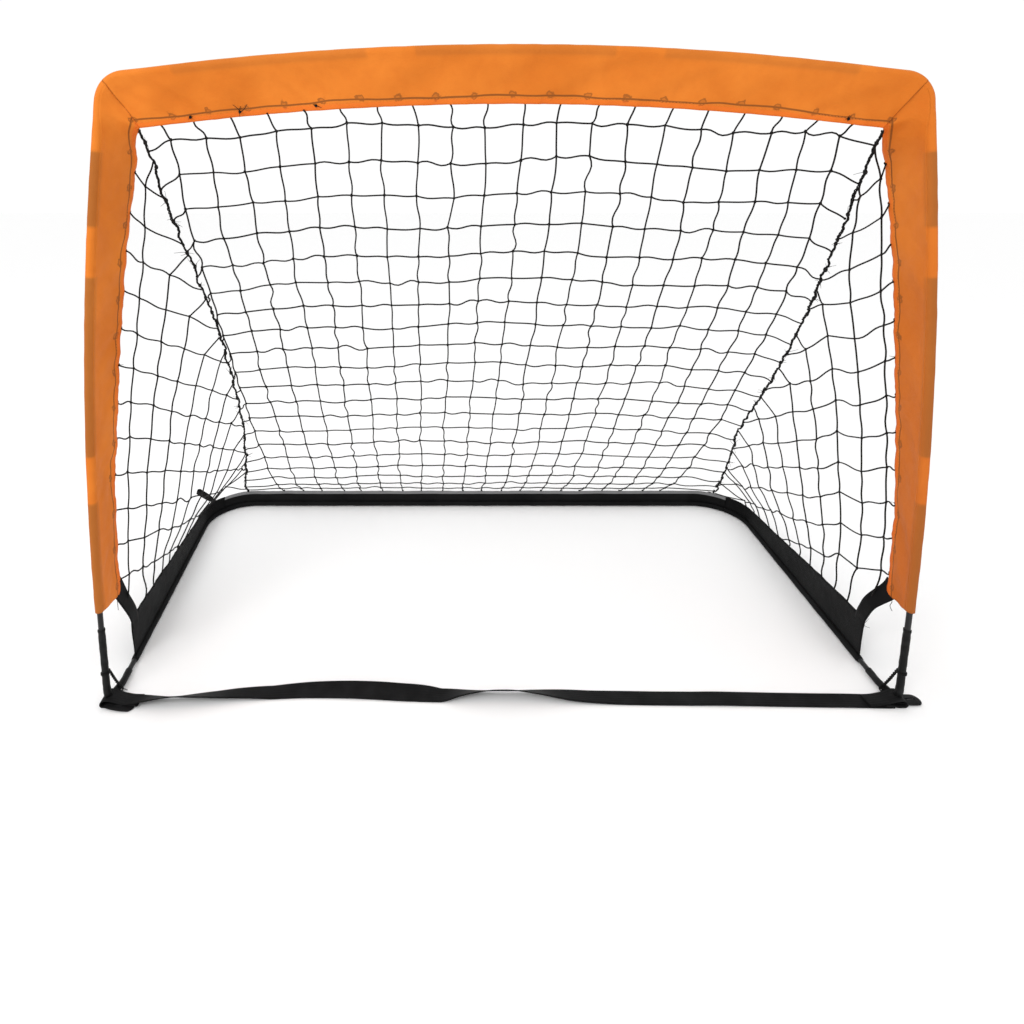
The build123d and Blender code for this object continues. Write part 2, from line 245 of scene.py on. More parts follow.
def webbing():
    n = Nodes("webbing", (0.006, 0.006, 0.006), 0.6, Specular_IOR_Level=0.10)
    place = n.object_coordinates()
    n.tint(n.noise(30, place, 3), 0.3, 0.75, (0.004, 0.004, 0.0042), (0.010, 0.010, 0.0105))
    ribs = n.math("SINE", n.times(n.attribute("along"), 2 * math.pi / 0.0017))
    rows = n.math("SINE", n.times(n.attribute("across"), 2 * math.pi / 0.0042))
    n.bump(n.scaled(rows, 0.35, ribs), 0.5, 0.00035)
    return n.material


def net_string():
    n = Nodes("net_string", (0.004, 0.0036, 0.0036), 0.6, Specular_IOR_Level=0.15)
    place = n.object_coordinates()
    n.tint(n.noise(40, place, 2), 0.3, 0.75, (0.002, 0.0018, 0.0018), (0.009, 0.0075, 0.007))
    n.bump(lay(n, 0.0032), 0.55, 0.0003)
    return n.material


def black_cord():
    n = Nodes("black_cord", (0.004, 0.0037, 0.0037), 0.55, Specular_IOR_Level=0.18)
    n.bump(lay(n, 0.0048), 0.5, 0.0004)
    return n.material


def black_hose():
    n = Nodes("black_hose", (0.006, 0.006, 0.006), 0.45, Specular_IOR_Level=0.14)
    place = n.object_coordinates()
    scuff = n.noise(70, place, 4, 0.6)
    n.tint(scuff, 0.45, 0.75, (0.004, 0.004, 0.0042), (0.013, 0.013, 0.0135))
    n.rough(n.scaled(scuff, 0.3, 0.3))
    n.bump(n.noise(240, place, 3), 0.2, 0.0004)
    return n.material


def fibreglass():
    n = Nodes("fibreglass", (0.008, 0.008, 0.008), 0.38, Specular_IOR_Level=0.3)
    place = n.object_coordinates()
    stretch = n.add("Mapping", {"Vector": place, "Scale": (9.0, 9.0, 0.6)}).outputs["Vector"]
    n.tint(n.noise(45, stretch, 3), 0.4, 0.7, (0.005, 0.005, 0.0053), (0.014, 0.014, 0.0145))
    n.bump(n.noise(160, stretch, 2), 0.25, 0.0003)
    return n.material


def hard(name, color, roughness, patches, spread, least, grain, depth, **sockets):
    """A smooth hard material, with faint patches of roughness and a fine grain."""
    n = Nodes(name, color, roughness, **sockets)
    place = n.object_coordinates()
    n.rough(n.scaled(n.noise(patches, place, 3), spread, least))
    n.bump(n.noise(grain, place, 2), depth, 0.0002)
    return n.material


def stitch_thread():
    n = Nodes("stitch_thread", (0.80, 0.22, 0.035), 0.55, Specular_IOR_Level=0.2)
    n.bump(n.noise(900, n.object_coordinates(), 2), 0.3, 0.0002)
    return n.material


# ---- mesh helpers

def add_piece(name, vertices, faces, look, attributes):
    """A new mesh in one of the looks, which fills its one slot."""
    mesh = bpy.data.meshes.new(name)
    mesh.from_pydata([tuple(v) for v in vertices], [], [tuple(int(i) for i in f) for f in faces])
    mesh.materials.append(looks[look])
    for key, values in attributes.items():
        mesh.attributes.new(key, "FLOAT", "POINT").data.foreach_set("value", np.asarray(values, np.float32))
    mesh.polygons.foreach_set("use_smooth", [True] * len(mesh.polygons))
    mesh.validate()
    mesh.update()
    piece = bpy.data.objects.new(name, mesh)
    bpy.context.collection.objects.link(piece)
    return piece


def unit(v):
    return v / np.maximum(np.linalg.norm(v, axis=-1, keepdims=True), 1e-12)


def ways(line):
    """The unit direction of a line at each of its points."""
    return unit(np.gradient(line, axis=0))


def catmull(points, step):
    """A smooth line through the points, sampled about every step."""
    points = np.asarray(points, float)
    padded = np.vstack([2 * points[0] - points[1], points, 2 * points[-1] - points[-2]])
    line = []
    for i in range(len(points) - 1):
        a, b, c, d = padded[i:i + 4]
        count = max(2, int(np.linalg.norm(c - b) / step))
        for t in np.arange(count) / count:
            line.append(0.5 * (2 * b + (c - a) * t + (2 * a - 5 * b + 4 * c - d) * t**2
                               + (3 * b - a - 3 * c + d) * t**3))
    return np.array(line + [points[-1]])


def lengths(line):
    return np.concatenate([[0], np.cumsum(np.linalg.norm(np.diff(line, axis=0), axis=1))])


def at_length(line, wanted):
    run = lengths(line)
    return np.stack([np.interp(wanted, run, line[:, i]) for i in range(line.shape[1])], axis=-1)


def value_noise(seed, *coordinates):
    """Smooth noise from -1 to 1. The coordinates count in lattice cells."""
    p = np.stack(np.broadcast_arrays(*coordinates), axis=-1).astype(float)
    dims = p.shape[-1]
    cell = np.floor(p).astype(int)
    t = p - cell
    t = t * t * (3 - 2 * t)
    total = np.zeros(p.shape[:-1])
    for corner in range(2**dims):
        bits = np.array([(corner >> k) & 1 for k in range(dims)])
        mixed = (cell + bits) @ np.array([127, 311, 743])[:dims] + seed * 1013
        value = np.modf(np.abs(np.sin(mixed * 12.9898) * 43758.5453))[0] * 2 - 1
        total += value * np.prod(np.where(bits, t, 1 - t), axis=-1)
    return total


def ring_faces(index):
    """The faces between closed rings of vertices. Each row of index holds one ring's vertex numbers."""
    after = np.roll(index, -1, axis=1)
    quads = np.stack([index[:-1], after[:-1], after[1:], index[1:]], axis=-1).reshape(-1, 4)
    return [tuple(q) for q in quads]


class Strings:
    """Collects round strings and knots into one mesh."""

    def __init__(self, sides=6):
        self.sides, self.count = sides, 0
        self.vertices, self.faces, self.along, self.around = [], [], [], []

    def add(self, line, radius):
        line = np.asarray(line, float)
        n, m = len(line), self.sides
        radii = np.broadcast_to(radius, n)
        tangent = ways(line)
        side = unit(np.cross(tangent[0], (0.3, 0.5, 0.8)))
        rings = np.empty((n, m, 3))
        angles = np.arange(m) * 2 * math.pi / m
        for i in range(n):
            side = unit(side - tangent[i] * (side @ tangent[i]))
            other = np.cross(tangent[i], side)
            rings[i] = line[i] + radii[i] * (np.outer(np.cos(angles), side) + np.outer(np.sin(angles), other))
        index = self.take(rings, lengths(line))
        self.faces += ring_faces(index) + [tuple(index[0][::-1]), tuple(index[-1])]

    def take(self, rings, run):
        """Keeps the rings' vertices and attributes, and gives the numbers of the vertices."""
        n, m = rings.shape[:2]
        self.vertices.append(rings.reshape(-1, 3))
        self.along.append(np.repeat(run, m))
        self.around.append(np.tile(np.arange(m) / m, n))
        self.count += n * m
        return self.count - n * m + np.arange(n * m).reshape(n, m)

    def knot(self, centre, size, stretch=(1.0, 1.0, 1.0)):
        """A small uneven ball, made of five rings."""
        rings, m = 5, 7
        phi = (np.arange(rings) + 0.5) * math.pi / rings
        theta = np.arange(m) * 2 * math.pi / m + rng.uniform(0, 1)
        ball = np.stack([np.outer(np.sin(phi), np.cos(theta)), np.outer(np.sin(phi), np.sin(theta)),
                         np.repeat(np.cos(phi)[:, None], m, axis=1)], axis=-1)
        ball *= size * np.array(stretch) * (1 + rng.uniform(-0.16, 0.16, ball.shape[:2] + (1,)))
        index = self.take(ball + centre, np.arange(rings) * size)
        self.faces += [q[::-1] for q in ring_faces(index)] + [tuple(index[0]), tuple(index[-1][::-1])]

    def tails(self, centre, count, length, radius=0.00045):
        """Short frayed ends that stick out of a knot."""
        for _ in range(count):
            way = unit(rng.normal(size=3) * np.array([1, 0.7, 1]))
            bend = rng.normal(size=3) * 0.5
            steps = np.linspace(0, length * rng.uniform(0.5, 1.1), 6)[:, None]
            line = centre + way * steps + bend * steps**2 / length
            self.add(line, np.linspace(radius, radius * 0.5, 6))

    def piece(self, name, look):
        data = {"along": np.concatenate(self.along), "around": np.concatenate(self.around)}
        return add_piece(name, np.concatenate(self.vertices), self.faces, look, data)


def closed_loops(name, loops, look, attributes):
    """A closed skin over a run of closed loops, with flat ends."""
    n, m = loops.shape[:2]
    index = np.arange(n * m).reshape(n, m)
    faces = ring_faces(index)
    # ends: pair up the loop's two halves, so that the cap is a strip of quads
    for ring, flip in ((index[0], False), (index[-1], True)):
        for k in range(m // 2 - 1):
            a, b, c, d = ring[k], ring[k + 1], ring[m - 2 - k], ring[m - 1 - k]
            faces.append((a, d, c, b) if not flip else (a, b, c, d))
    flat = {k: np.asarray(v).reshape(-1) for k, v in attributes.items()}
    return add_piece(name, loops.reshape(-1, 3), faces, look, flat)


def round_loops(axis, radii, up, side):
    """Round cross-sections about an axis, where up and side are directions across it."""
    angles = np.linspace(0, 2 * math.pi, radii.shape[1], endpoint=False)[:, None]
    return axis[:, None] + radii[..., None] * (np.cos(angles) * up[:, None] + np.sin(angles) * side[:, None])


def twist(strings, path, aim, strands, turned, swell, radius):
    """Strands laid round each other along a path. Turned is the angle and swell the distance."""
    tangent = ways(path)
    a = unit(np.cross(tangent, aim))
    b = np.cross(tangent, a)
    for strand in range(strands):
        phase = (turned + strand * 2 * math.pi / strands)[:, None]
        strings.add(path + (a * np.cos(phase) + b * np.sin(phase)) * swell(strand), radius)


def fillet(corner, ahead, onward, radius, count):
    """Points of the arc that rounds a corner, from the direction ahead into the direction onward."""
    turn = math.acos(np.clip(ahead @ onward, -1, 1))
    inward = unit(onward - ahead * (onward @ ahead))
    centre = corner - ahead * radius * math.tan(turn / 2) + inward * radius
    return [centre + radius * (ahead * math.sin(w) - inward * math.cos(w))
            for w in np.linspace(0, turn, count)]


def at_height(curve, z):
    """The point of a curve at height z, or at each of several. The curve only rises or falls."""
    order = np.argsort(curve[:, 2])
    return np.stack([np.interp(z, curve[order, 2], curve[order, k]) for k in range(3)], axis=-1)


def ribbon(name, middle, across, thickness, look, columns=7):
    """A strip of cloth, from its centre line and its half-width vectors."""
    spread = np.linspace(-1, 1, columns)
    surface = middle[:, None, :] + across[:, None, :] * spread[None, :, None]
    return cloth(name, surface, thickness, look)


def cloth(name, surface, thickness, look, extra=None):
    """A closed thin cloth over a grid of points, with along and across attributes."""
    n, m = surface.shape[:2]
    normal = unit(np.cross(np.gradient(surface, axis=0), np.gradient(surface, axis=1)))
    front, back = surface + normal * thickness / 2, surface - normal * thickness / 2
    data = {"along": np.repeat(lengths(surface[:, m // 2])[:, None], m, axis=1),
            "across": np.repeat(lengths(surface[n // 2])[None, :], n, axis=0), **(extra or {})}
    data = {k: np.concatenate([v, v[:, ::-1]], axis=1) for k, v in data.items()}
    return closed_loops(name, np.concatenate([front, back[:, ::-1]], axis=1), look, data)


def stitches(name, line, out, pitch, length, radius):
    """A row of short raised stitches on a line, lifted along out: one direction, or one a point."""
    run = lengths(line)
    made = Strings(5)
    for s in np.arange(pitch / 2, run[-1] - pitch / 2, pitch):
        centre, lift = at_length(line, s), at_length(out, s) if out.ndim > 1 else out
        way = unit(at_length(line, min(s + 0.001, run[-1])) - at_length(line, max(s - 0.001, 0)))
        t = np.linspace(-1, 1, 5)[:, None]
        bow = (1 - t**2) * radius * 0.9
        made.add(centre + way * t * length / 2 + lift * bow, radius * np.array([0.5, 0.95, 1, 0.95, 0.5]))
    return made.piece(name, "stitch_thread")


def fasten(piece, body, shows=None):
    """Puts a piece on its body, and hides the CAD node that it shows."""
    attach(piece, body)
    if shows:
        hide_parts(shows)


# ---- the hoop's line, from its CAD dimensions

BAR_HEIGHT, BAR_RADIUS, BAR_HALF = 0.9638, 4.0, 0.447
POST_FOOT, POST_LEAN, POST_STRAIGHT, POST_RADIUS, POST_ARC = 0.6057, 0.0131, 0.119, 4.676, 0.712
AXIS_Z, TOP_BEND, SLEEVE_BOTTOM = 0.0062, 0.038, 0.148
FLAP_DOWN = np.array((0.0, math.sin(math.radians(19.5)), -math.cos(math.radians(19.5))))
FLAP, CORNER_HEM, HEM_WIDTH = 0.071, 0.5124, 0.0075
SLEEVE_ROWS, SLEEVE_TUBE = 26, 0.0063


def bar_point(x):
    reach = min(abs(x), BAR_HALF)
    depth = math.sqrt(BAR_RADIUS**2 - reach**2)
    return np.array((x, 0.0, BAR_HEIGHT - (BAR_RADIUS - depth) - (abs(x) - reach) * reach / depth))


def post_point(t):
    straight = min(t, POST_STRAIGHT)
    x, z = POST_FOOT + straight * math.sin(POST_LEAN), AXIS_Z + straight * math.cos(POST_LEAN)
    if t <= POST_STRAIGHT:
        return np.array((x, 0.0, z))
    lean = POST_LEAN - min(t - POST_STRAIGHT, POST_ARC) / POST_RADIUS
    x += POST_RADIUS * (math.cos(lean) - math.cos(POST_LEAN))
    z += POST_RADIUS * (math.sin(POST_LEAN) - math.sin(lean))
    beyond = max(0.0, t - POST_STRAIGHT - POST_ARC)
    return np.array((x + beyond * math.sin(lean), 0.0, z + beyond * math.cos(lean)))


def elbow_arc():
    """The top elbow's bend, from the bar to the post."""
    a, b = bar_point(BAR_HALF), post_point(POST_STRAIGHT + POST_ARC)
    da = unit(bar_point(BAR_HALF + 0.001) - a)
    db = unit(post_point(POST_STRAIGHT + POST_ARC + 0.001) - b)
    gap, cross = b - a, da[0] * db[2] - da[2] * db[0]
    corner = a + da * ((gap[0] * db[2] - gap[2] * db[0]) / cross)
    return fillet(corner, da, -db, TOP_BEND, 25)


ARC = elbow_arc()
BAR_LINE = np.array([bar_point(x) for x in np.linspace(0, BAR_HALF, 90)] + ARC[:13])
POST_TOP = POST_STRAIGHT + POST_ARC
POST_LINE = np.array(ARC[12:] + [post_point(t) for t in np.linspace(POST_TOP + 0.05, SLEEVE_BOTTOM, 160)])
# places down a post, with the flap's width and how far in degrees it is turned back from the goal's plane
FLAP_STATIONS = [(0.812, 0.078, 77), (0.730, 0.078, 81), (0.630, 0.077, 84),
                 (0.470, 0.074, 88), (0.290, 0.070, 94), (0.146, 0.067, 95)]


def post_hem(side):
    """The hem of a post's flap, from the mitre down. The right flap hangs turned further back."""
    points = [bar_point(CORNER_HEM) + FLAP_DOWN * FLAP, np.array((0.5320, 0.050, 0.8500))]
    for t, width, turn in FLAP_STATIONS:
        a = math.radians(turn + (9.5 if side > 0 else -1.0))
        points.append(post_point(t) + np.array((-math.cos(a), math.sin(a), 0)) * width)
    points[-1] = points[-1] - UP * 0.018
    return catmull(points, 0.004)


POST_HEMS = {side: post_hem(side) for side in (-1, 1)}


def mirrored(points, side):
    return points * np.array((side, 1.0, 1.0))


# ---- orange sleeves

def flap_wrinkles(along, share, seed, slant, depth):
    """How far the flap stands out of its plane. share is 0 at the rod and 1 at the hem."""
    across = share * FLAP
    folds = value_noise(seed, (along + across * slant) * 21, along * 4 + across * 6)
    folds += 0.5 * value_noise(seed + 5, (along - across * slant * 0.6) * 47, across * 17)
    fine = value_noise(seed + 9, along * 120, across * 90)
    pulls = np.cos(2 * math.pi * along / KNOT_PITCH + 1.5 * value_noise(seed + 2, along * 9))
    pucker = value_noise(seed + 3, along * 150, 3.0)
    loose = max(0.0, math.sin(math.pi * share)) ** 0.7
    near_hem = math.exp(-((FLAP - across) / 0.016) ** 2)
    return (depth * folds * (0.25 + 0.75 * loose) * min(share * 4, 1) + 0.00022 * fine * share
            + (0.0007 * pulls + 0.00055 * pucker) * near_hem)


def across_axis(axis, hem):
    """Unit directions at each point of a rod's axis: towards the hem, and square to both."""
    along = ways(axis)
    out = hem - axis
    flat = unit(out - along * np.sum(out * along, axis=1, keepdims=True))
    return flat, unit(np.cross(along, flat))


def sleeve_loops(axis, hem, seed, slant, depth, with_tube):
    """Closed cross-sections of the doubled cloth: front layer up, round the rod, back layer down."""
    run = lengths(axis)
    flat, side = across_axis(axis, hem)
    width = np.linalg.norm(hem - axis, axis=1)
    shares = np.linspace(0, 1, SLEEVE_ROWS) ** 0.95
    leave = math.acos(SLEEVE_TUBE / FLAP * 0.8)

    def layer(sign):
        """Rows from the rod to the hem, each as points, distance from the hem, rod tone and painted rim
        highlight.
        """
        made = []
        for share in shares:
            root = axis + SLEEVE_TUBE * (math.cos(leave) * flat + sign * math.sin(leave) * side)
            end = hem + sign * side * 0.0011
            fold = 0.0007 if (1 - share) * FLAP < HEM_WIDTH else 0.0
            belly = -sign * 0.0016 * math.sin(math.pi * share)
            bump = flap_wrinkles(run, share, seed, slant, depth) + belly + sign * fold
            rod = np.clip(1 - (share - 0.06) * 22, 0, 1)
            made.append((root + (end - root) * share + side * bump[:, None], width * (1 - share), rod, 0.0))
        return made

    tube = []
    for k, angle in enumerate(np.linspace(leave, 2 * math.pi - leave, 20)[1:-1] if with_tube else ()):
        radius = SLEEVE_TUBE + 0.00022 * value_noise(seed + 7, run * 70, angle * 2)
        points = axis + radius[:, None] * (math.cos(angle) * flat + math.sin(angle) * side)
        rod = 0.5 + 0.5 * math.sin(min(angle, 2 * math.pi - angle))
        # the painted rim highlight peaks at the tube's top, halfway round
        tube.append((points, width, rod, math.exp(-(((k + 1) / 19 - 0.5) / 0.07) ** 2)))
    points, across, rod, rim = zip(*layer(1.0)[::-1], *tube, *layer(-1.0))
    loops = np.stack(points, axis=1)
    whole = np.ones(loops.shape[:2])
    # the end rows carry the mitre mask for the painted crease shade
    mitre = np.zeros(loops.shape[:2])
    mitre[0] = 1.0
    return loops, {"along": run[:, None] * whole, "across": np.stack(across, axis=1), "rod": rod * whole,
                   "rim": rim * whole, "hemmed": whole, "mitre": mitre}


def hem_stitches(name, loops):
    """The rows of stitches on the front and the back of a sleeve's hem."""
    made = []
    for face, k in (("front", 3), ("back", loops.shape[1] - 4)):
        out = unit(loops[:, k] - loops[:, loops.shape[1] - 1 - k])
        made.append(stitches(name.format(face), loops[:, k], out, 0.0046, 0.0034, 0.00028))
    return made


def rod_tone(position, dark):
    """1 where a dark rod lies under the cloth, 0 over a socket, with soft ends."""
    return np.max([np.clip((position - low) / 0.004, 0, 1) * np.clip((high - position) / 0.004, 0, 1)
                   for low, high in dark], axis=0)


def make_crossbar_sleeve():
    half = at_length(BAR_LINE, np.linspace(0, lengths(BAR_LINE)[-1], 190))
    axis = np.vstack([mirrored(half[:0:-1], -1), half])
    hem = np.array([bar_point(share * CORNER_HEM) + FLAP_DOWN * FLAP
                    for share in np.linspace(-1, 1, len(axis))])
    loops, data = sleeve_loops(axis, hem, 3, 1.3, 0.0044, True)
    data["rod"] *= 0.22 * rod_tone(np.abs(axis[:, 0]), [(-1, 0.134), (0.194, 0.456)])[:, None]
    data["shade"] = np.zeros(loops.shape[:2])
    # painted crease shade at the crossbar's second mitre as well
    data["mitre"][-1] = 1.0
    data["cells"] = ((hem[:, 0] + 0.0005) / 0.0512 + 0.5)[:, None] * data["hemmed"]
    piece = closed_loops("crossbar_sleeve_cloth", loops, "orange_cloth", data)
    fasten(piece, "front_hoop", "crossbar_sleeve")
    for sewn in hem_stitches("crossbar_hem_stitches_{}", loops):
        fasten(sewn, "front_hoop")


def make_post_sleeve(side):
    tag = SIDE_NAMES[side]
    run = lengths(POST_LINE)[-1]
    axis = at_length(POST_LINE, np.linspace(0, run, 270))
    f = np.linspace(0, 1, len(axis))
    curve = POST_HEMS[side]
    z = axis[:, 2] - (axis[0, 2] - curve[0, 2]) * np.exp(-f / 0.05) - (axis[-1, 2] - curve[-1, 2]) * f**8
    hem = at_height(curve, z)
    hem[:, 2] = z
    hem[0] = curve[0]
    axis, hem = mirrored(axis, side), mirrored(hem, side)
    seed = 21 if side > 0 else 37
    loops, data = sleeve_loops(axis, hem, seed, 1.0 * side, 0.0034, False)
    tone = rod_tone(axis[:, 2], [(0.728, 0.833), (0.397, 0.662), (0.0, 0.329)])[:, None]
    darkest = np.array([0.80, 0.50, 0.10]) * (1.0 if side > 0 else 0.10)
    shade = np.interp(axis[:, 2], [0.15, 0.5, 0.9], darkest)[:, None]
    data["rod"] *= 0.25 * tone
    data["shade"] = shade * data["hemmed"]
    data["cells"] = (run * f / 0.056)[:, None] * data["hemmed"]
    flap = closed_loops(f"post_flap_{tag}", loops, "orange_cloth", data)

    # the narrow tube that the rods run through
    flat, across = across_axis(axis, hem)
    angles = np.linspace(0, 2 * math.pi, 26, endpoint=False)
    along = lengths(axis)[:, None]
    tube = round_loops(axis, 0.0062 + 0.00025 * value_noise(seed + 4, along * 60, angles * 1.4), flat, across)
    whole = np.ones(tube.shape[:2])
    tube_data = {"along": along * whole, "across": 0.08 * whole + angles * 0.006, "shade": shade * whole,
                 "rod": 0.62 * np.sin(angles / 2) ** 2 * tone, "hemmed": 0 * whole, "cells": 0 * whole}
    channel = closed_loops(f"post_channel_{tag}", tube[:, ::side], "orange_cloth", tube_data)
    fasten(channel, "front_hoop")

    sewn = hem_stitches(f"post_hem_stitches_{{}}_{tag}", loops)
    # the mitre seam joins the post's cloth to the crossbar's
    out = unit(loops[0, 12] - loops[0, 40])
    sewn.append(stitches(f"mitre_stitches_{tag}", loops[0, 3:24], out, 0.0040, 0.003, 0.0003))
    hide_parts(f"post_sleeve_{tag}")
    for piece in [flap, *sewn]:
        fasten(piece, "front_hoop")
        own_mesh(piece)


# ---- the net

ROOF = np.array([(26, 890), (48, 830), (70, 772), (98, 712), (132, 650), (172, 588), (216, 520), (260, 452),
                 (305, 385), (350, 322), (392, 262), (432, 206), (472, 155), (515, 108),
                 (560, 70), (597, 41)]) / 1000
SEAMS = {
    -1: [(-0.513, 0.026, 0.863), (-0.503, 0.046, 0.807), (-0.500, 0.062, 0.765), (-0.483, 0.117, 0.655),
         (-0.475, 0.176, 0.562), (-0.477, 0.249, 0.453), (-0.485, 0.320, 0.351), (-0.498, 0.385, 0.262),
         (-0.518, 0.450, 0.175), (-0.549, 0.546, 0.079), (-0.557, 0.580, 0.052), (-0.561, 0.5965, 0.0400)],
    1: [(0.513, 0.026, 0.863), (0.506, 0.055, 0.783), (0.505, 0.089, 0.704), (0.509, 0.120, 0.647),
        (0.517, 0.173, 0.563), (0.523, 0.246, 0.454), (0.523, 0.298, 0.379), (0.521, 0.361, 0.293),
        (0.532, 0.400, 0.240), (0.546, 0.444, 0.181), (0.560, 0.503, 0.115),
         (0.580, 0.553, 0.070), (0.588, 0.588, 0.0405)],
}
ROOF_LINE = catmull(np.column_stack([np.zeros(len(ROOF)), ROOF]), 0.004)
SEAM_LINES = {side: catmull(points, 0.004) for side, points in SEAMS.items()}
STRING_R = 0.00125


def roof_point(x, s):
    """A point on the roof: s along its middle profile, lowered towards the sides."""
    p = at_length(ROOF_LINE, s)
    sag = (0.020 + 0.008 * min(1.0, s / 0.25)) * (abs(x) / 0.48) ** 2 * max(0.0, 1 - p[1] / 0.6)
    return np.array((x, p[1], p[2] - sag))


def seam_point(side, z):
    return at_height(SEAM_LINES[side], z)


def cell_string(a, b, wave, sag, out):
    """The string of one mesh cell, which leaves each knot at its own angle."""
    a, b = np.asarray(a, float), np.asarray(b, float)
    way = unit(b - a)
    out = unit(np.cross(way, (0.0, 0.75, 0.66))) if out is None else out
    deep = unit(np.cross(way, out))
    t = np.linspace(0, 1, 8)[:, None]
    first, second, third = rng.normal(0, wave * 0.7), rng.normal(0, wave), rng.normal(0, wave * 0.5)
    bend = (first - sag) * np.sin(math.pi * t) + second * np.sin(2 * math.pi * t)
    depth = third * np.sin(math.pi * t) + rng.normal(0, wave * 0.5) * np.sin(2 * math.pi * t)
    return a + (b - a) * t + out * bend + deep * depth


def chain(knots, wave, sag=0.0, out=None):
    """One string through several knots."""
    parts = [cell_string(a, b, wave, sag, out)[:-1] for a, b in zip(knots, knots[1:])]
    return np.vstack(parts + [np.asarray(knots[-1])[None]])


def make_roof_net():
    """Twenty strings run down the roof. Twenty more cross them and end on the seams."""
    made = Strings()
    total = lengths(ROOF_LINE)[-1]
    columns = -0.475 + 0.0492 * np.arange(20)
    grid = np.empty((20, 20, 3))
    for i, x in enumerate(columns):
        for j, s in enumerate(np.linspace(0.021, total - 0.034, 20)):
            drift = 0.010 * math.sin(j * 0.16) * (1 if x > 0 else 0.6) * (abs(x) / 0.47)
            jitter = rng.normal(0, 0.0017, 2)
            grid[i, j] = roof_point(x + drift + jitter[0], s + jitter[1]
                                    + 0.004 * math.sin(0.9 * i + 0.35 * j))
    for x, column in zip(columns, grid):
        hem = bar_point(x * 1.028 + rng.normal(0, 0.002)) + FLAP_DOWN * (FLAP - 0.002)
        foot = roof_point(column[-1, 0] + rng.normal(0, 0.002), total - 0.004)
        foot[1:] = 0.598, 0.0400
        made.add(chain([hem, *column, foot], 0.0011), STRING_R)
        made.knot(foot + UP * 0.001, 0.0019)
    for j in range(20):
        dip = 0.012 if j == 0 else 0.019
        ends = [seam_point(side, max(0.05, grid[i, j, 2] - dip + rng.normal(0, 0.002)))
                for side, i in ((-1, 0), (1, 19))]
        made.add(chain([ends[0], *grid[:, j], ends[1]], 0.0016, 0.0006), STRING_R)
        for end in ends:
            made.knot(end, 0.0020)
    for point in grid.reshape(-1, 3):
        made.knot(point + rng.normal(0, 0.0002, 3), rng.uniform(0.0019, 0.0024), (1.0, 0.9, 1.15))
    piece = made.piece("roof_net_strings", "net_string")
    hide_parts("roof_net")
    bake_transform(piece)


RAIL_FRONT, RAIL_BACK = np.array((0.599, 0.030, AXIS_Z)), np.array((0.6408, 0.600, AXIS_Z))
# the side nets' rows: how far each first knot lies below its loop at the hem, and how fast the row falls
FIRST_DROP = [0.024, 0.022, 0.020, 0.016, 0.013, 0.010, 0.008, 0.007, 0.006, 0.006, 0.006, 0.006]
SLOPES = [0.40, 0.42, 0.46, 0.50, 0.52, 0.52, 0.50, 0.48, 0.44, 0.41, 0.38, 0.36]


def skirt_top(y):
    """The height of the side skirt's top edge, y behind the posts."""
    return np.interp(y, [0.095, 0.565], [0.084, 0.040])


def rail_x(y):
    """How far out the side rail lies, y behind the posts."""
    return RAIL_FRONT[0] + (RAIL_BACK[0] - RAIL_FRONT[0]) * (y - RAIL_FRONT[1]) / (RAIL_BACK[1] - RAIL_FRONT[1])


def row_height(side, row):
    """The height at which a side net's row is tied to the post's hem."""
    return max(0.807 + 0.012 * (side > 0) - 0.0588 * row, 0.146)


def hem_point(side, z):
    p = at_height(POST_HEMS[side], z)
    return mirrored(np.array((p[0], p[1], z)), side)


def side_point(side, d, z):
    """A point of a side panel, d along the level line from the flap's hem to the seam, and its length."""
    a, b = hem_point(side, z), seam_point(side, z)
    b[2] = z
    span = np.linalg.norm(b - a)
    p = a + (b - a) * d / span
    above = z - skirt_top(p[1])
    bulge = max(0.0, 1 - above / 0.13) ** 1.6 if p[1] > 0.09 else 0.0
    p[0] += (side * rail_x(p[1]) - p[0]) * min(1.0, bulge)
    return p, span


def on_skirt(side, y, lower):
    """A point on the side skirt's top edge, lowered a little."""
    return np.array((side * (rail_x(y) - 0.001), y, skirt_top(y) - lower))


